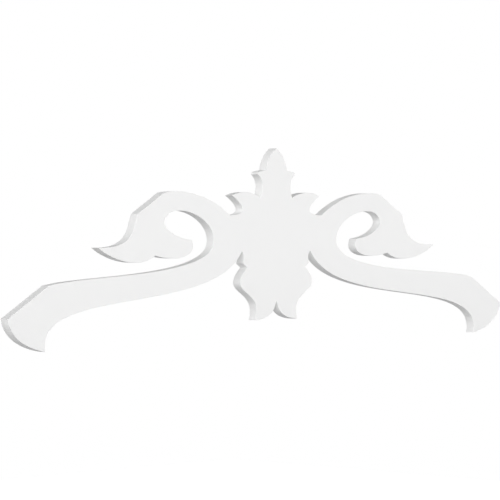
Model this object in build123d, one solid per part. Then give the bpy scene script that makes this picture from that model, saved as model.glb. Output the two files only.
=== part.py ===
from build123d import *
from dataclasses import dataclass
from math import cos, radians, sin
import os

# Gable pediment: one flat board cut through to a scrolled outline, the same on both sides
# of the middle. X runs along the gable and Z up. The front faces -Y, and the back lies on
# the wall at Y = 0. The origin is in the middle of the panel's back.
# Sizes are in millimetres. Corners and curves are given for the right half, clockwise
# from the top of the finial, and the left half is their mirror image.


@dataclass(frozen=True)
class Bend:
    """How a curve leaves its first corner and how it arrives at its last one.

    A heading is in degrees from +X towards +Z. A pull is how far the curve follows it.
    """

    leave: float
    leave_pull: float
    arrive: float
    arrive_pull: float


# Overall sizes, and the roof line that the shoulders and the feet are cut to
OVERALL_WIDTH = 1828.8
THICKNESS = 25.4
ROOF_RISE = 7.0
ROOF_RUN = 12.0
ROOF_PEAK_HEIGHT = 366.3

# Finial: an acorn in a cup on a waisted neck
NECK_FOOT_HEIGHT = 120.7
NECK_FOOT_WIDTH = 117.8
NECK_HEIGHT = 59.3
NECK_WAIST = Bend(113.0, 25.0, 32.5, 24.7)
CUP_WIDTH = 138.4
CUP_SIDE_DEPTH = 7.1
CUP_SIDE_ARCH = 1.5
CUP_LEDGE_WIDTH = 123.0
CUP_LEDGE_RISE = 4.2
ACORN_WIDTH = 77.4
ACORN_HEIGHT = 56.0
ACORN_ARCH = 7.8

# Ears: one leaf on each side below the neck
EAR_SPAN = 326.6
EAR_TIP_RISE = 4.8
EAR_ARCH = 11.1
EAR_DEPTH = 49.8
EAR_UNDERCUT = 8.3
EAR_HOLLOW = Bend(-150.0, 10.0, -0.8, 95.0)

# Scroll: the band over the eye, which ends in the shoulder cut to the roof line
SHOULDER_START = 402.5
SHOULDER_RUN = 91.0
SCROLL_ARCH = 22.2
SCROLL_BAND = 44.4

# Eye: the round opening inside the scroll
EYE_INNER_SIDE = 229.5
EYE_WIDTH = 173.7
EYE_CROWN_SETBACK = 118.3
EYE_INNER_DROP = 75.5
EYE_OUTER_DROP = 29.5
EYE_MOUTH = Bend(5.4, 67.2, 90.0, 11.3)
EYE_OUTER_TURN = Bend(90.0, 7.9, 180.0, 47.6)
EYE_INNER_TURN = Bend(180.0, 45.3, -90.0, 47.5)

# Leaf: it hangs from the shoulder, and its inner end curls up into a lobe
LEAF_REACH = 131.7
LEAF_DROP = 81.2
LEAF_BACK = Bend(-68.1, 36.8, 2.2, 119.6)
LEAF_LENGTH = 191.5
LEAF_TIP_LIFT = 20.8
LEAF_BELLY = Bend(-143.4, 48.9, 146.6, 63.4)
LOBE_WIDTH = 124.7
LOBE_RISE = 37.9
LOBE_CURL = Bend(-167.2, 83.7, 58.1, 47.3)

# Rail and foot: the long arm down to the eaves, and its flared end
RAIL_ROOT_WIDTH = 101.3
RAIL_ROOT_DROP = 26.6
RAIL_TOP = Bend(-90.0, 94.0, -12.9, 115.7)
RAIL_UNDERSIDE = Bend(73.3, 168.2, 120.2, 189.5)
FOOT_CUT_RUN = 128.8
FOOT_SOLE_RUN = 119.5
FOOT_DROP = 80.2
FOOT_SOLE = Bend(-100.0, 14.7, -171.0, 105.7)

# Lower leaves: two lobes below the panel, with a spur and a crease on the outside of each
# and a notch between them
SPUR_INSET = 4.8
SPUR_DROP = 31.1
SPUR_HOLLOW = 5.6
CREASE_INSET = 14.7
CREASE_DROP = 10.9
LOWER_LEAF_LENGTH = 134.3
LOWER_TIP_SPAN = 155.6
LOWER_NOTCH_RISE = 48.2
LOWER_LEAF_SIDE = Bend(-41.5, 110.1, -69.4, 90.1)
LOWER_LEAF_END = Bend(175.5, 63.6, 110.0, 22.6)


def roof_line(x: float) -> Vector:
    """The point of the roof line at a distance from the middle."""
    return Vector(x, ROOF_PEAK_HEIGHT - x * ROOF_RISE / ROOF_RUN)


def toward(heading: float, pull: float) -> Vector:
    """A step of a given length along a heading."""
    return Vector(cos(radians(heading)), sin(radians(heading))) * pull


def curve(start: Vector, bend: Bend, end: Vector) -> Edge:
    """One smooth curve between two corners."""
    near_start = start + toward(bend.leave, bend.leave_pull)
    near_end = end - toward(bend.arrive, bend.arrive_pull)
    return Bezier(start, near_start, near_end, end)


# Corners of the finial and the ear
NECK_FOOT = Vector(NECK_FOOT_WIDTH / 2, NECK_FOOT_HEIGHT)
CUP_LIP = Vector(CUP_WIDTH / 2, NECK_FOOT_HEIGHT + NECK_HEIGHT)
CUP_SHOULDER = Vector(CUP_LEDGE_WIDTH / 2, CUP_LIP.Y + CUP_SIDE_DEPTH)
ACORN_FOOT = Vector(ACORN_WIDTH / 2, CUP_SHOULDER.Y + CUP_LEDGE_RISE)
ACORN_TIP = Vector(0, ACORN_FOOT.Y + ACORN_HEIGHT)
EAR_TIP = Vector(EAR_SPAN / 2, NECK_FOOT_HEIGHT + EAR_TIP_RISE)
EAR_NOTCH = EAR_TIP + Vector(EAR_UNDERCUT, -EAR_DEPTH)

# Corners of the shoulder and the leaf
SHOULDER_IN = roof_line(SHOULDER_START)
SHOULDER_OUT = roof_line(SHOULDER_START + SHOULDER_RUN)
LEAF_TIP = SHOULDER_OUT + Vector(LEAF_REACH, -LEAF_DROP)
LEAF_NOTCH = LEAF_TIP - Vector(LEAF_LENGTH, LEAF_TIP_LIFT)
LOBE_TIP = LEAF_NOTCH + Vector(-LOBE_WIDTH, LOBE_RISE)

# Places where the eye's edge turns
EYE_CROWN = Vector(EYE_INNER_SIDE + EYE_CROWN_SETBACK, SHOULDER_IN.Y - SCROLL_BAND)
EYE_OUTER = Vector(EYE_INNER_SIDE + EYE_WIDTH, EYE_CROWN.Y - EYE_OUTER_DROP)
EYE_INNER = Vector(EYE_INNER_SIDE, EYE_CROWN.Y - EYE_INNER_DROP)

# Corners of the foot and the rail
FOOT_HEEL = roof_line(OVERALL_WIDTH / 2)
FOOT_HEAD = roof_line(OVERALL_WIDTH / 2 - FOOT_CUT_RUN)
FOOT_TOE = FOOT_HEEL - Vector(FOOT_SOLE_RUN, FOOT_DROP)
RAIL_NOTCH = EYE_INNER - Vector(RAIL_ROOT_WIDTH, RAIL_ROOT_DROP)

# Corners of the lower leaf
SPUR = RAIL_NOTCH - Vector(SPUR_INSET, SPUR_DROP)
CREASE = SPUR - Vector(CREASE_INSET, CREASE_DROP)
LOWER_TIP = Vector(LOWER_TIP_SPAN / 2, CREASE.Y - LOWER_LEAF_LENGTH)
LOWER_NOTCH = Vector(0, LOWER_TIP.Y + LOWER_NOTCH_RISE)


def finial() -> list[Edge]:
    """Acorn, cup and neck, from the tip down to the neck's foot."""
    return [
        SagittaArc(ACORN_TIP, ACORN_FOOT, ACORN_ARCH),
        Line(ACORN_FOOT, CUP_SHOULDER),
        SagittaArc(CUP_SHOULDER, CUP_LIP, CUP_SIDE_ARCH),
        curve(NECK_FOOT, NECK_WAIST, CUP_LIP),
    ]


def ear() -> list[Edge]:
    """The ear's arched top and its hollow underside."""
    return [
        SagittaArc(NECK_FOOT, EAR_TIP, EAR_ARCH),
        curve(EAR_TIP, EAR_HOLLOW, EAR_NOTCH),
    ]


def scroll_top() -> list[Edge]:
    """The scroll's arched top and the shoulder that is cut to the roof line."""
    return [
        SagittaArc(EAR_NOTCH, SHOULDER_IN, SCROLL_ARCH),
        Line(SHOULDER_IN, SHOULDER_OUT),
    ]


def leaf() -> list[Edge]:
    """The hanging leaf, from the shoulder round its tip to the tip of its lobe."""
    return [
        curve(SHOULDER_OUT, LEAF_BACK, LEAF_TIP),
        curve(LEAF_TIP, LEAF_BELLY, LEAF_NOTCH),
        curve(LEAF_NOTCH, LOBE_CURL, LOBE_TIP),
    ]


def eye() -> list[Edge]:
    """The scroll's opening, from the lobe over the crown to the inner side."""
    return [
        curve(LOBE_TIP, EYE_MOUTH, EYE_OUTER),
        curve(EYE_OUTER, EYE_OUTER_TURN, EYE_CROWN),
        curve(EYE_CROWN, EYE_INNER_TURN, EYE_INNER),
    ]


def rail_and_foot() -> list[Edge]:
    """The rail's top, the foot round to its toe, and the rail's underside."""
    return [
        curve(EYE_INNER, RAIL_TOP, FOOT_HEAD),
        Line(FOOT_HEAD, FOOT_HEEL),
        curve(FOOT_HEEL, FOOT_SOLE, FOOT_TOE),
        curve(FOOT_TOE, RAIL_UNDERSIDE, RAIL_NOTCH),
    ]


def lower_leaf() -> list[Edge]:
    """The lower leaf, from the rail's notch to the notch in the middle."""
    return [
        SagittaArc(RAIL_NOTCH, SPUR, -SPUR_HOLLOW),
        Line(SPUR, CREASE),
        curve(CREASE, LOWER_LEAF_SIDE, LOWER_TIP),
        curve(LOWER_TIP, LOWER_LEAF_END, LOWER_NOTCH),
    ]


def outline() -> Face:
    """The face inside the whole outline, seen from the front."""
    right = finial() + ear() + scroll_top() + leaf() + eye() + rail_and_foot() + lower_leaf()
    left = [mirror(edge, about=Plane.YZ) for edge in right]
    return make_face(right + left)


def pediment() -> Part:
    """The board, cut through square to its faces."""
    return extrude(Plane.XZ * outline(), amount=THICKNESS)


os.makedirs("parts", exist_ok=True)
export_step(pediment(), "parts/pediment.step")
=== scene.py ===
import logging
from bisect import bisect_left
from dataclasses import dataclass, field
from enum import Enum
from itertools import accumulate
from math import atan, atan2, ceil, cos, degrees, pi, radians, sin, tan

import bpy
from mathutils import Matrix, Vector
from mathutils.geometry import interpolate_bezier


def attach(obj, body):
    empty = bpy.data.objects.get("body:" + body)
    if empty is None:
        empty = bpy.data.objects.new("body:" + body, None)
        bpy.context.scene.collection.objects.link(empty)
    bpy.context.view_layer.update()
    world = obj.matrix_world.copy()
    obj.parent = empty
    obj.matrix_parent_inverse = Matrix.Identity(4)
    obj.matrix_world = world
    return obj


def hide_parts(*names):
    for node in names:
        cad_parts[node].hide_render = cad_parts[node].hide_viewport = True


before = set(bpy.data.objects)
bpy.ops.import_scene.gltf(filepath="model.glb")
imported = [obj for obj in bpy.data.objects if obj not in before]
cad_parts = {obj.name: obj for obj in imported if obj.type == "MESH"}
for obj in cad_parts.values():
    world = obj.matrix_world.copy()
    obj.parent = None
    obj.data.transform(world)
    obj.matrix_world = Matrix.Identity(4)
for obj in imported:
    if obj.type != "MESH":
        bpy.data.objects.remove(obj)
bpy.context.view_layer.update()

# Gable pediment in white trim board. One flat board is cut through to a scrolled outline.
# Object sizes are kept in millimetres, as on the drawing, and turned to metres once.
# X runs along the gable, Z up, and the front faces -Y.

LOG = logging.getLogger("pediment")

# Metres in a millimetre
METRES = 0.001
# Places tried along a stretch to find points at even lengths
FINE_POINTS = 1001
# A face whose normal has at least this much of Y lies flat in the front or the back
FLAT = 0.999
# How many times finer the fine part of the grain is than its broad part
FINER = 4.3
# Noise values between which a mottle runs from its lowest value to its highest
MOTTLE_LOW = 0.3
MOTTLE_HIGH = 0.7


class Side(Enum):
    """The half of the outline that a stretch belongs to."""

    RIGHT = 1
    LEFT = -1


class TextureCoord(Enum):
    """The coordinates that a finish lays its pattern on."""

    OBJECT = "Object"


@dataclass(frozen=True)
class Bend:
    """How a curve leaves its first corner and arrives at its last one.

    Headings are in degrees from +X towards +Z, and pulls are in millimetres.
    """

    leave: float
    leave_pull: float
    arrive: float
    arrive_pull: float


@dataclass(frozen=True)
class Stretch:
    """One stretch of the outline between two corners, with its two handles."""

    start: Vector
    near_start: Vector
    near_end: Vector
    end: Vector

    def on(self, side: Side) -> "Stretch":
        """The same stretch on one side, running clockwise round the board.

        Args:
            side: The half that it is wanted for.

        Returns:
            The stretch itself, or its mirror image with its ends exchanged.
        """
        if side is Side.RIGHT:
            return self
        points = [Vector((side.value * p.x, p.y)) for p in
                  (self.end, self.near_end, self.near_start, self.start)]
        return Stretch(*points)

    def points(self, spacing: float, turn: float) -> list[Vector]:
        """Points on the stretch at even lengths, from its first corner up to its last one.

        Args:
            spacing: The longest step, in millimetres.
            turn: The most that the heading may change over one step, in degrees.

        Returns:
            The points, without the last corner.
        """
        fine = interpolate_bezier(self.start, self.near_start, self.near_end, self.end, FINE_POINTS)
        runs = [0.0, *accumulate((b - a).length for a, b in zip(fine, fine[1:]))]
        leave, arrive = self.near_start - self.start, self.end - self.near_end
        steps = ceil(max(runs[-1] / spacing, degrees(leave.angle(arrive)) / turn))
        return [fine[bisect_left(runs, runs[-1] * step / steps)] for step in range(steps)]


def at(x: float, z: float) -> Vector:
    """A point of the outline, in millimetres."""
    return Vector((x, z))


def toward(heading: float, pull: float) -> Vector:
    """A step of a given length along a heading in degrees."""
    return at(cos(radians(heading)), sin(radians(heading))) * pull


def curve(start: Vector, bend: Bend, end: Vector) -> Stretch:
    """A smooth stretch between two corners.

    Args:
        start: The first corner.
        bend: The headings and pulls at both corners.
        end: The last corner.

    Returns:
        The stretch with its handles.
    """
    near_start = start + toward(bend.leave, bend.leave_pull)
    near_end = end - toward(bend.arrive, bend.arrive_pull)
    return Stretch(start, near_start, near_end, end)


def straight(start: Vector, end: Vector) -> Stretch:
    """A straight stretch between two corners."""
    return Stretch(start, start.lerp(end, 1 / 3), start.lerp(end, 2 / 3), end)


def arch(start: Vector, end: Vector, rise: float) -> Stretch:
    """A round stretch that stands out from the straight line by its rise.

    Args:
        start: The first corner.
        end: The last corner.
        rise: How far the arc's middle stands out of the board, in millimetres.

    Returns:
        The stretch, as one curve that follows the arc.
    """
    chord = end - start
    half_turn = 2 * atan(2 * rise / chord.length)
    radius = chord.length / 2 / sin(half_turn)
    pull = 4 / 3 * tan(half_turn / 2) * radius
    heading = degrees(atan2(chord.y, chord.x))
    turn = degrees(half_turn)
    return curve(start, Bend(heading + turn, pull, heading - turn, pull), end)


@dataclass(frozen=True)
class RoofLine:
    """The line under the roof trim that the shoulders and feet are cut to."""

    peak_height: float = 366.3
    rise: float = 7.0
    run: float = 12.0

    def point(self, x: float) -> Vector:
        """The point of the line at a distance from the middle."""
        return at(x, self.peak_height - x * self.rise / self.run)


@dataclass(frozen=True)
class Finial:
    """Acorn in a cup, on a waisted neck."""

    neck_foot_height: float = 120.7
    neck_foot_width: float = 117.8
    neck_height: float = 59.3
    cup_width: float = 138.4
    cup_side_depth: float = 7.1
    cup_side_arch: float = 1.5
    cup_ledge_width: float = 123.0
    cup_ledge_rise: float = 4.2
    acorn_width: float = 77.4
    acorn_height: float = 56.0
    acorn_arch: float = 7.8
    waist: Bend = Bend(-147.5, 24.7, -67.0, 25.0)

    def neck_foot(self) -> Vector:
        """The corner where the neck meets the ear."""
        return at(self.neck_foot_width / 2, self.neck_foot_height)

    def stretches(self) -> list[Stretch]:
        """Draws the half from the acorn's tip down to the neck's foot.

        Returns:
            The stretches, clockwise.
        """
        lip = at(self.cup_width / 2, self.neck_foot_height + self.neck_height)
        shoulder = at(self.cup_ledge_width / 2, lip.y + self.cup_side_depth)
        acorn_foot = at(self.acorn_width / 2, shoulder.y + self.cup_ledge_rise)
        tip = at(0, acorn_foot.y + self.acorn_height)
        return [
            arch(tip, acorn_foot, self.acorn_arch),
            straight(acorn_foot, shoulder),
            arch(shoulder, lip, self.cup_side_arch),
            curve(lip, self.waist, self.neck_foot()),
        ]


@dataclass(frozen=True)
class Ear:
    """One leaf on each side below the neck."""

    finial: Finial
    span: float = 326.6
    tip_rise: float = 4.8
    top_arch: float = 11.1
    depth: float = 49.8
    undercut: float = 8.3
    hollow: Bend = Bend(-150.0, 10.0, -0.8, 95.0)

    def tip(self) -> Vector:
        """The ear's outer tip."""
        return at(self.span / 2, self.finial.neck_foot_height + self.tip_rise)

    def notch(self) -> Vector:
        """The corner where the ear meets the scroll."""
        return self.tip() + at(self.undercut, -self.depth)

    def stretches(self) -> list[Stretch]:
        """The ear's arched top and its hollow underside.

        Returns:
            The stretches, clockwise.
        """
        return [
            arch(self.finial.neck_foot(), self.tip(), self.top_arch),
            curve(self.tip(), self.hollow, self.notch()),
        ]


@dataclass(frozen=True)
class Scroll:
    """The band over the eye, with the shoulder that is cut to the roof line."""

    roof: RoofLine
    ear: Ear
    shoulder_start: float = 402.5
    shoulder_run: float = 91.0
    top_arch: float = 22.2
    band: float = 44.4

    def shoulder_in(self) -> Vector:
        """The shoulder's inner corner."""
        return self.roof.point(self.shoulder_start)

    def shoulder_out(self) -> Vector:
        """The shoulder's outer corner."""
        return self.roof.point(self.shoulder_start + self.shoulder_run)

    def stretches(self) -> list[Stretch]:
        """The scroll's arched top and the straight shoulder.

        Returns:
            The stretches, clockwise.
        """
        return [
            arch(self.ear.notch(), self.shoulder_in(), self.top_arch),
            straight(self.shoulder_in(), self.shoulder_out()),
        ]


@dataclass(frozen=True)
class Leaf:
    """The leaf that hangs from the shoulder, and the lobe at its inner end."""

    scroll: Scroll
    reach: float = 131.7
    drop: float = 81.2
    length: float = 191.5
    tip_lift: float = 20.8
    lobe_width: float = 124.7
    lobe_rise: float = 37.9
    back: Bend = Bend(-68.1, 36.8, 2.2, 119.6)
    belly: Bend = Bend(-143.4, 48.9, 146.6, 63.4)
    lobe_curl: Bend = Bend(-167.2, 83.7, 58.1, 47.3)

    def tip(self) -> Vector:
        """The leaf's outer tip."""
        return self.scroll.shoulder_out() + at(self.reach, -self.drop)

    def notch(self) -> Vector:
        """The corner between the leaf and its lobe."""
        return self.tip() - at(self.length, self.tip_lift)

    def lobe_tip(self) -> Vector:
        """The lobe's tip, in the mouth of the eye."""
        return self.notch() + at(-self.lobe_width, self.lobe_rise)

    def stretches(self) -> list[Stretch]:
        """The stretches from the shoulder round the leaf to the lobe's tip.

        Returns:
            The stretches, clockwise.
        """
        return [
            curve(self.scroll.shoulder_out(), self.back, self.tip()),
            curve(self.tip(), self.belly, self.notch()),
            curve(self.notch(), self.lobe_curl, self.lobe_tip()),
        ]


@dataclass(frozen=True)
class Eye:
    """The round opening inside the scroll."""

    scroll: Scroll
    leaf: Leaf
    inner_side: float = 229.5
    width: float = 173.7
    crown_setback: float = 118.3
    inner_drop: float = 75.5
    outer_drop: float = 29.5
    mouth: Bend = Bend(5.4, 67.2, 90.0, 11.3)
    outer_turn: Bend = Bend(90.0, 7.9, 180.0, 47.6)
    inner_turn: Bend = Bend(180.0, 45.3, -90.0, 47.5)

    def crown(self) -> Vector:
        """The highest point of the eye, one band below the shoulder."""
        return at(self.inner_side + self.crown_setback, self.scroll.shoulder_in().y - self.scroll.band)

    def inner(self) -> Vector:
        """The point of the eye nearest the middle."""
        return at(self.inner_side, self.crown().y - self.inner_drop)

    def outer(self) -> Vector:
        """The point of the eye farthest from the middle."""
        return at(self.inner_side + self.width, self.crown().y - self.outer_drop)

    def stretches(self) -> list[Stretch]:
        """The stretches from the lobe over the crown to the inner side.

        Returns:
            The stretches, clockwise.
        """
        return [
            curve(self.leaf.lobe_tip(), self.mouth, self.outer()),
            curve(self.outer(), self.outer_turn, self.crown()),
            curve(self.crown(), self.inner_turn, self.inner()),
        ]


@dataclass(frozen=True)
class Rail:
    """The long arm down to the eaves, and its flared foot."""

    roof: RoofLine
    eye: Eye
    overall_width: float = 1828.8
    root_width: float = 101.3
    root_drop: float = 26.6
    foot_cut_run: float = 128.8
    foot_sole_run: float = 119.5
    foot_drop: float = 80.2
    top: Bend = Bend(-90.0, 94.0, -12.9, 115.7)
    underside: Bend = Bend(73.3, 168.2, 120.2, 189.5)
    sole: Bend = Bend(-100.0, 14.7, -171.0, 105.7)

    def notch(self) -> Vector:
        """The corner where the rail's underside meets the lower leaf."""
        return self.eye.inner() - at(self.root_width, self.root_drop)

    def stretches(self) -> list[Stretch]:
        """The rail's top, the foot round to its toe, and the rail's underside.

        Returns:
            The stretches, clockwise.
        """
        heel = self.roof.point(self.overall_width / 2)
        head = self.roof.point(self.overall_width / 2 - self.foot_cut_run)
        toe = heel - at(self.foot_sole_run, self.foot_drop)
        return [
            curve(self.eye.inner(), self.top, head),
            straight(head, heel),
            curve(heel, self.sole, toe),
            curve(toe, self.underside, self.notch()),
        ]


@dataclass(frozen=True)
class LowerLeaf:
    """One lobe below the panel, with a spur and a crease on its side."""

    rail: Rail
    spur_inset: float = 4.8
    spur_drop: float = 31.1
    spur_hollow: float = 5.6
    crease_inset: float = 14.7
    crease_drop: float = 10.9
    length: float = 134.3
    tip_span: float = 155.6
    notch_rise: float = 48.2
    side: Bend = Bend(-41.5, 110.1, -69.4, 90.1)
    end: Bend = Bend(175.5, 63.6, 110.0, 22.6)

    def stretches(self) -> list[Stretch]:
        """The stretches from the rail's notch to the notch in the middle.

        Returns:
            The stretches, clockwise.
        """
        spur = self.rail.notch() - at(self.spur_inset, self.spur_drop)
        crease = spur - at(self.crease_inset, self.crease_drop)
        tip = at(self.tip_span / 2, crease.y - self.length)
        return [
            arch(self.rail.notch(), spur, -self.spur_hollow),
            straight(spur, crease),
            curve(crease, self.side, tip),
            curve(tip, self.end, at(0, tip.y + self.notch_rise)),
        ]


class Tree:
    """A node tree that is filled one node at a time."""

    def __init__(self, tree: bpy.types.NodeTree) -> None:
        """Starts with an empty tree.

        Args:
            tree: The tree to fill. Nodes that it already has are removed.
        """
        self.tree = tree
        self.tree.nodes.clear()

    def add(self, kind: str, settings: dict[str, object] | None = None,
            **inputs: object) -> bpy.types.Node:
        """Adds a node.

        Args:
            kind: The node's type name.
            settings: Values of the node's own properties.
            inputs: For each input, its name with underscores for spaces, or its
                number after "in_", and a value or the output that feeds it.

        Returns:
            The new node.
        """
        node = self.tree.nodes.new(kind)
        for name, value in (settings or {}).items():
            setattr(node, name, value)
        for name, value in inputs.items():
            number = name.removeprefix("in_")
            key = int(number) if number.isdigit() else name.replace("_", " ")
            socket = node.inputs[key]
            if isinstance(value, bpy.types.NodeSocket):
                self.tree.links.new(value, socket)
            else:
                socket.default_value = value
        return node

    def socket(self, name: str, kind: str, output: bool = False) -> None:
        """Adds a named input or output to a group.

        Args:
            name: The socket's name.
            kind: The socket's type name.
            output: True for an output.
        """
        self.tree.interface.new_socket(
            name=name, in_out="OUTPUT" if output else "INPUT", socket_type=kind)


def grain_group() -> bpy.types.NodeTree:
    """The fine relief of moulded or cut board, as a height from 0 to 1.

    Returns:
        A group with the size and the stretch of the relief as inputs.
    """
    group = Tree(bpy.data.node_groups.new("Board grain", "ShaderNodeTree"))
    group.socket("Coordinates", "NodeSocketVector")
    group.socket("Per metre", "NodeSocketFloat")
    group.socket("Across thickness", "NodeSocketFloat")
    group.socket("Fine share", "NodeSocketFloat")
    group.socket("Height", "NodeSocketFloat", output=True)
    inputs = group.add("NodeGroupInput").outputs
    stretch = group.add("ShaderNodeCombineXYZ", X=1.0, Y=inputs["Across thickness"], Z=1.0)
    place = group.add("ShaderNodeVectorMath", {"operation": "MULTIPLY"},
                      in_0=inputs["Coordinates"], in_1=stretch.outputs["Vector"])
    broad = group.add("ShaderNodeTexNoise", Vector=place.outputs["Vector"],
                      Scale=inputs["Per metre"], Detail=2.0, Roughness=0.5)
    finer = group.add("ShaderNodeMath", {"operation": "MULTIPLY"}, in_0=inputs["Per metre"], in_1=FINER)
    fine = group.add("ShaderNodeTexNoise", Vector=place.outputs["Vector"],
                     Scale=finer.outputs["Value"], Detail=2.0, Roughness=0.5)
    mix = group.add("ShaderNodeMix", {"data_type": "FLOAT"}, in_0=inputs["Fine share"],
                    in_2=broad.outputs["Fac"], in_3=fine.outputs["Fac"])
    group.add("NodeGroupOutput", Height=mix.outputs[0])
    return group.tree


def mottle_group() -> bpy.types.NodeTree:
    """Slow, faint changes over the surface, about a middle value.

    Returns:
        A group that varies a value by a given share of itself.
    """
    group = Tree(bpy.data.node_groups.new("Board mottle", "ShaderNodeTree"))
    group.socket("Coordinates", "NodeSocketVector")
    group.socket("Per metre", "NodeSocketFloat")
    group.socket("Middle", "NodeSocketFloat")
    group.socket("Spread", "NodeSocketFloat")
    group.socket("Value", "NodeSocketFloat", output=True)
    inputs = group.add("NodeGroupInput").outputs
    noise = group.add("ShaderNodeTexNoise", Vector=inputs["Coordinates"],
                      Scale=inputs["Per metre"], Detail=3.0, Roughness=0.55)
    low = group.add("ShaderNodeMath", {"operation": "SUBTRACT"},
                    in_0=inputs["Middle"], in_1=inputs["Spread"])
    high = group.add("ShaderNodeMath", {"operation": "ADD"},
                     in_0=inputs["Middle"], in_1=inputs["Spread"])
    spread = group.add("ShaderNodeMapRange", Value=noise.outputs["Fac"],
                       From_Min=MOTTLE_LOW, From_Max=MOTTLE_HIGH,
                       To_Min=low.outputs["Value"], To_Max=high.outputs["Value"])
    group.add("NodeGroupOutput", Value=spread.outputs["Result"])
    return group.tree


@dataclass(frozen=True)
class BoardFinish:
    """White cellular trim board, on its skin or on a cut edge.

    Spreads are how far a value strays either way, patches and grain are counted per metre,
    and the relief is in metres.
    """

    name: str
    colour: tuple[float, float, float]
    colour_spread: float
    roughness: float
    roughness_spread: float
    grain_per_metre: float
    across_thickness: float
    fine_share: float
    relief: float
    gloss: float
    colour_patches: float = 7.0
    roughness_patches: float = 31.0
    refraction: float = 1.45
    coordinates: TextureCoord = TextureCoord.OBJECT

    def material(self, grain: bpy.types.NodeTree, mottle: bpy.types.NodeTree) -> bpy.types.Material:
        """Builds the finish.

        Args:
            grain: The group for the fine relief.
            mottle: The group for slow changes.

        Returns:
            The material.
        """
        made = bpy.data.materials.new(self.name)
        made.use_nodes = True
        tree = Tree(made.node_tree)
        place = tree.add("ShaderNodeTexCoord").outputs[self.coordinates.value]
        tone = tree.add("ShaderNodeGroup", {"node_tree": mottle}, Coordinates=place,
                        Per_metre=self.colour_patches, Middle=1.0, Spread=self.colour_spread)
        colour = tree.add("ShaderNodeVectorMath", {"operation": "SCALE"},
                          in_0=self.colour, Scale=tone.outputs["Value"])
        rough = tree.add("ShaderNodeGroup", {"node_tree": mottle}, Coordinates=place,
                         Per_metre=self.roughness_patches, Middle=self.roughness,
                         Spread=self.roughness_spread)
        height = tree.add("ShaderNodeGroup", {"node_tree": grain}, Coordinates=place,
                          Per_metre=self.grain_per_metre, Across_thickness=self.across_thickness,
                          Fine_share=self.fine_share)
        bump = tree.add("ShaderNodeBump", Strength=1.0, Distance=self.relief,
                        Height=height.outputs["Height"])
        shader = tree.add("ShaderNodeBsdfPrincipled", IOR=self.refraction,
                          Specular_IOR_Level=self.gloss, Base_Color=colour.outputs["Vector"],
                          Roughness=rough.outputs["Value"], Normal=bump.outputs["Normal"])
        tree.add("ShaderNodeOutputMaterial", Surface=shader.outputs["BSDF"])
        return made


SKIN = BoardFinish(
    name="White board skin", colour=(0.84, 0.84, 0.838), colour_spread=0.004,
    roughness=0.46, roughness_spread=0.03,
    grain_per_metre=420.0, across_thickness=1.0, fine_share=0.35, relief=0.00002,
    gloss=0.35)
CUT_EDGE = BoardFinish(
    name="White board cut edge", colour=(0.83, 0.83, 0.828), colour_spread=0.008,
    roughness=0.72, roughness_spread=0.05,
    grain_per_metre=700.0, across_thickness=0.06, fine_share=0.25, relief=0.00004,
    gloss=0.1)


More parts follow.
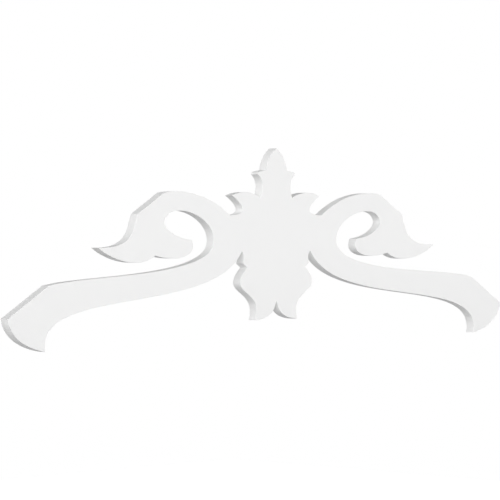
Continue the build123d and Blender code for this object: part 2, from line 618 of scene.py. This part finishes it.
@dataclass
class Board:
    """The pediment's board: its outline, thickness, eased edges and finishes.

    The outline is walked in steps of a greatest length and turn. A step is longer than what the
    arris takes off it at a sharp tip, so that the eased edge doesn't fold over. A turn of the
    outline past the sharp turn is shaded as a corner.
    """

    finial: Finial = field(default_factory=Finial)
    roof: RoofLine = field(default_factory=RoofLine)
    thickness: float = 25.4
    arris: float = 0.5
    weld: float = 0.001
    arris_steps: int = 3
    step_length: float = 2.2
    step_turn: float = 8.0
    sharp_turn: float = 14.0
    node: str = "pediment"
    body: str = "root"
    slot: str = "board"

    def half_outline(self) -> list[Stretch]:
        """Joins the parts of the right half, clockwise from the top to the bottom.

        Returns:
            All the stretches of the half.
        """
        ear = Ear(self.finial)
        scroll = Scroll(self.roof, ear)
        leaf = Leaf(scroll)
        eye = Eye(scroll, leaf)
        rail = Rail(self.roof, eye)
        parts = (self.finial, ear, scroll, leaf, eye, rail, LowerLeaf(rail))
        return [stretch for part in parts for stretch in part.stretches()]

    def outline(self) -> bpy.types.Object:
        """Draws the whole outline as one closed curve in the XY plane.

        Returns:
            The curve's object, in metres.
        """
        right = [stretch.on(Side.RIGHT) for stretch in self.half_outline()]
        left = [stretch.on(Side.LEFT) for stretch in reversed(right)]
        loop = [point * METRES for stretch in right + left
                for point in stretch.points(self.step_length, self.step_turn)]
        drawing = bpy.data.curves.new("pediment_outline", "CURVE")
        drawing.dimensions = "3D"
        spline = drawing.splines.new("POLY")
        spline.points.add(len(loop) - 1)
        spline.use_cyclic_u = True
        for point, place in zip(spline.points, loop):
            point.co = (place.x, place.y, 0.0, 1.0)
        made = bpy.data.objects.new("pediment_outline", drawing)
        bpy.context.scene.collection.objects.link(made)
        return made

    def cutting_tree(self) -> bpy.types.NodeTree:
        """Fills an outline and gives it thickness, with one finish on its faces and one on its edge.

        Returns:
            The Geometry Nodes tree.
        """
        tree = Tree(bpy.data.node_groups.new("Cut board", "GeometryNodeTree"))
        tree.socket("Geometry", "NodeSocketGeometry")
        tree.socket("Thickness", "NodeSocketFloat")
        tree.socket("Skin", "NodeSocketMaterial")
        tree.socket("Cut edge", "NodeSocketMaterial")
        tree.socket("Geometry", "NodeSocketGeometry", output=True)
        inputs = tree.add("NodeGroupInput").outputs
        face = tree.add("GeometryNodeFillCurve", {"mode": "NGONS"}, Curve=inputs["Geometry"])
        walls = tree.add("GeometryNodeExtrudeMesh", {"mode": "FACES"}, Mesh=face.outputs["Mesh"],
                         Offset_Scale=inputs["Thickness"], Individual=False)
        back = tree.add("GeometryNodeFlipFaces", Mesh=face.outputs["Mesh"])
        join = tree.add("GeometryNodeJoinGeometry")
        tree.tree.links.new(walls.outputs["Mesh"], join.inputs[0])
        tree.tree.links.new(back.outputs["Mesh"], join.inputs[0])
        closed = tree.add("GeometryNodeMergeByDistance", Geometry=join.outputs["Geometry"],
                          Distance=self.weld * METRES)
        upright = tree.add("GeometryNodeTransform", Geometry=closed.outputs["Geometry"],
                           Rotation=(pi / 2, 0.0, 0.0))
        real = tree.add("GeometryNodeRealizeInstances", Geometry=upright.outputs["Geometry"])
        skinned = tree.add("GeometryNodeSetMaterial", Geometry=real.outputs["Geometry"],
                           Material=inputs["Skin"])
        edged = tree.add("GeometryNodeSetMaterial", Geometry=skinned.outputs["Geometry"],
                         Selection=walls.outputs["Side"], Material=inputs["Cut edge"])
        tree.add("NodeGroupOutput", Geometry=edged.outputs["Geometry"])
        return tree.tree

    def cut(self, skin: bpy.types.Material, cut_edge: bpy.types.Material) -> bpy.types.Mesh:
        """Cuts the board out of its outline.

        Args:
            skin: The finish of both faces.
            cut_edge: The finish of the edge all round.

        Returns:
            A plain mesh of the board with square edges.
        """
        outline = self.outline()
        cutter = outline.modifiers.new("Cut board", "NODES")
        cutter.node_group = self.cutting_tree()
        values = {"Thickness": self.thickness * METRES, "Skin": skin, "Cut edge": cut_edge}
        for item in cutter.node_group.interface.items_tree:
            if item.in_out == "INPUT" and item.name in values:
                cutter[item.identifier] = values[item.name]
        drawn = outline.evaluated_get(bpy.context.evaluated_depsgraph_get())
        mesh = bpy.data.meshes.new_from_object(drawn)
        outline.modifiers.remove(cutter)
        bpy.data.objects.remove(outline)
        return mesh

    def ease_edges(self, board: bpy.types.Object) -> None:
        """Takes the sharpness off the rim of both faces.

        Args:
            board: The board's object. Its mesh is replaced.
        """
        mesh = board.data
        rim = {mesh.loops[loop].edge_index for face in mesh.polygons
               if abs(face.normal.y) > FLAT for loop in face.loop_indices}
        weights = mesh.attributes.new("bevel_weight_edge", "FLOAT", "EDGE")
        weights.data.foreach_set("value", [float(edge in rim) for edge in range(len(mesh.edges))])
        easing = board.modifiers.new("Eased edge", "BEVEL")
        easing.limit_method = "WEIGHT"
        easing.width = self.arris * METRES
        easing.segments = self.arris_steps
        easing.use_clamp_overlap = False
        drawn = board.evaluated_get(bpy.context.evaluated_depsgraph_get())
        eased = bpy.data.meshes.new_from_object(drawn)
        board.modifiers.remove(easing)
        board.data = eased
        self.shade(eased)

    def shade(self, mesh: bpy.types.Mesh) -> None:
        """Shades both faces flat, and the edge smooth between the outline's corners.

        Args:
            mesh: The board's mesh.
        """
        facing: dict[int, list[Vector]] = {}
        for face in mesh.polygons:
            face.use_smooth = abs(face.normal.y) < FLAT
            if face.use_smooth:
                for loop in face.loop_indices:
                    edge = mesh.loops[loop].edge_index
                    facing.setdefault(edge, []).append(face.normal.xz)
        for edge, (first, *others) in facing.items():
            mesh.edges[edge].use_edge_sharp = any(
                first.angle(other) > radians(self.sharp_turn) for other in others)

    def build(self) -> bpy.types.Object:
        """Builds the board in the place of its CAD node.

        Returns:
            The finished piece.
        """
        grain, mottle = grain_group(), mottle_group()
        skin = SKIN.material(grain, mottle)
        cut_edge = CUT_EDGE.material(grain, mottle)
        board = bpy.data.objects.new("pediment_board", self.cut(skin, cut_edge))
        bpy.context.scene.collection.objects.link(board)
        self.ease_edges(board)
        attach(board, self.body)
        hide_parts(self.node)
        return board


def direction(azimuth: float, elevation: float) -> Vector:
    """The direction from the object to what stands round it.

    Args:
        azimuth: Degrees round from the front, positive towards +X.
        elevation: Degrees up from level.

    Returns:
        The direction, one metre long.
    """
    turn, lift = radians(azimuth), radians(elevation)
    return Vector((sin(turn) * cos(lift), -cos(turn) * cos(lift), sin(lift)))


@dataclass(frozen=True)
class SoftLight:
    """A large, distant studio light, with no fall-off over the object."""

    name: str
    azimuth: float
    elevation: float
    level: float
    spread: float
    distance: float = 5.0

    def build(self) -> None:
        """Sets up the light."""
        lamp = bpy.data.lights.new(self.name, "SUN")
        lamp.energy = self.level * pi
        lamp.angle = radians(self.spread)
        made = bpy.data.objects.new(self.name, lamp)
        back = direction(self.azimuth, self.elevation)
        made.location = back * self.distance
        made.rotation_euler = back.to_track_quat("Z", "Y").to_euler()
        bpy.context.scene.collection.objects.link(made)


@dataclass(frozen=True)
class Studio:
    """Plain pale floor, white surroundings and soft lights."""

    floor_height: float = -1.1
    floor_size: float = 9.0
    floor_tone: float = 0.8
    floor_glow: float = 0.72
    surround_level: float = 0.08
    lights: tuple[SoftLight, ...] = (
        SoftLight("key_light", azimuth=-60.0, elevation=20.0, level=0.373, spread=60.0),
        SoftLight("low_key_light", azimuth=-40.0, elevation=0.0, level=0.425, spread=60.0),
        SoftLight("side_light", azimuth=-100.0, elevation=32.0, level=0.29, spread=80.0),
        SoftLight("front_fill", azimuth=30.0, elevation=0.0, level=0.392, spread=24.0),
        SoftLight("back_fill", azimuth=160.0, elevation=10.0, level=0.40, spread=40.0),
        SoftLight("back_light", azimuth=180.0, elevation=0.0, level=0.30, spread=24.0),
    )

    def plain_rays(self, tree: Tree) -> bpy.types.NodeSocket:
        """A mask of the rays that see the surroundings as plain white.

        Args:
            tree: The tree to put the mask in.

        Returns:
            The mask, 1 for camera, glossy and transmission rays.
        """
        rays = tree.add("ShaderNodeLightPath").outputs
        seen = tree.add("ShaderNodeMath", {"operation": "MAXIMUM"},
                        in_0=rays["Is Camera Ray"], in_1=rays["Is Glossy Ray"])
        both = tree.add("ShaderNodeMath", {"operation": "MAXIMUM"},
                        in_0=seen.outputs["Value"], in_1=rays["Is Transmission Ray"])
        return both.outputs["Value"]

    def build_surround(self) -> None:
        """Makes the world white to look at and a soft grey as light."""
        world = bpy.data.worlds.new("Studio surround")
        bpy.context.scene.world = world
        world.use_nodes = True
        tree = Tree(world.node_tree)
        level = tree.add("ShaderNodeMapRange", Value=self.plain_rays(tree),
                         To_Min=self.surround_level, To_Max=1.0)
        glow = tree.add("ShaderNodeBackground", Color=(1.0, 1.0, 1.0, 1.0),
                        Strength=level.outputs["Result"])
        tree.add("ShaderNodeOutputWorld", Surface=glow.outputs["Background"])

    def build_floor(self) -> None:
        """Lays a pale floor that keeps the object's shadow."""
        half = self.floor_size / 2
        corners = [(-half, -half), (half, -half), (half, half), (-half, half)]
        mesh = bpy.data.meshes.new("studio_floor")
        mesh.from_pydata([(x, y, self.floor_height) for x, y in corners], [], [(0, 1, 2, 3)])
        floor = bpy.data.objects.new("studio_floor", mesh)
        bpy.context.scene.collection.objects.link(floor)
        paint = bpy.data.materials.new("Floor paint")
        paint.use_nodes = True
        tree = Tree(paint.node_tree)
        matt = tree.add("ShaderNodeBsdfDiffuse", Color=(*(self.floor_tone,) * 3, 1.0))
        level = tree.add("ShaderNodeMath", {"operation": "MULTIPLY"},
                         in_0=self.plain_rays(tree), in_1=self.floor_glow)
        glow = tree.add("ShaderNodeEmission", Strength=level.outputs["Value"])
        both = tree.add("ShaderNodeAddShader", in_0=matt.outputs["BSDF"],
                        in_1=glow.outputs["Emission"])
        tree.add("ShaderNodeOutputMaterial", Surface=both.outputs["Shader"])
        mesh.materials.append(paint)

    def build(self) -> None:
        """Sets up the surroundings, the floor and the lights."""
        bpy.context.scene.view_settings.view_transform = "Standard"
        self.build_surround()
        self.build_floor()
        for light in self.lights:
            light.build()


@dataclass(frozen=True)
class PhotoCamera:
    """The camera of the photograph, level with the board and well to its left."""

    azimuth: float = -46.312
    elevation: float = 0.61
    distance: float = 7.060
    focal_length: float = 200.49
    sensor_width: float = 36.0
    aim: tuple[float, float, float] = (-0.0986, -0.0254, -0.0123)

    def build(self) -> None:
        """Stands the camera back from the point that it aims at."""
        data = bpy.data.cameras.new("photo_camera")
        data.lens = self.focal_length
        data.sensor_width = self.sensor_width
        made = bpy.data.objects.new("photo_camera", data)
        back = direction(self.azimuth, self.elevation)
        turned = (-back).to_track_quat("-Z", "Y").to_matrix().to_4x4()
        made.matrix_world = Matrix.Translation(Vector(self.aim) + back * self.distance) @ turned
        bpy.context.scene.collection.objects.link(made)
        bpy.context.scene.camera = made


def main() -> None:
    """Builds the studio, the camera and the board, in that order."""
    logging.basicConfig(level=logging.INFO, format="%(name)s: %(message)s")
    Studio().build()
    PhotoCamera().build()
    board = Board().build()


if __name__ == "__main__":
    main()
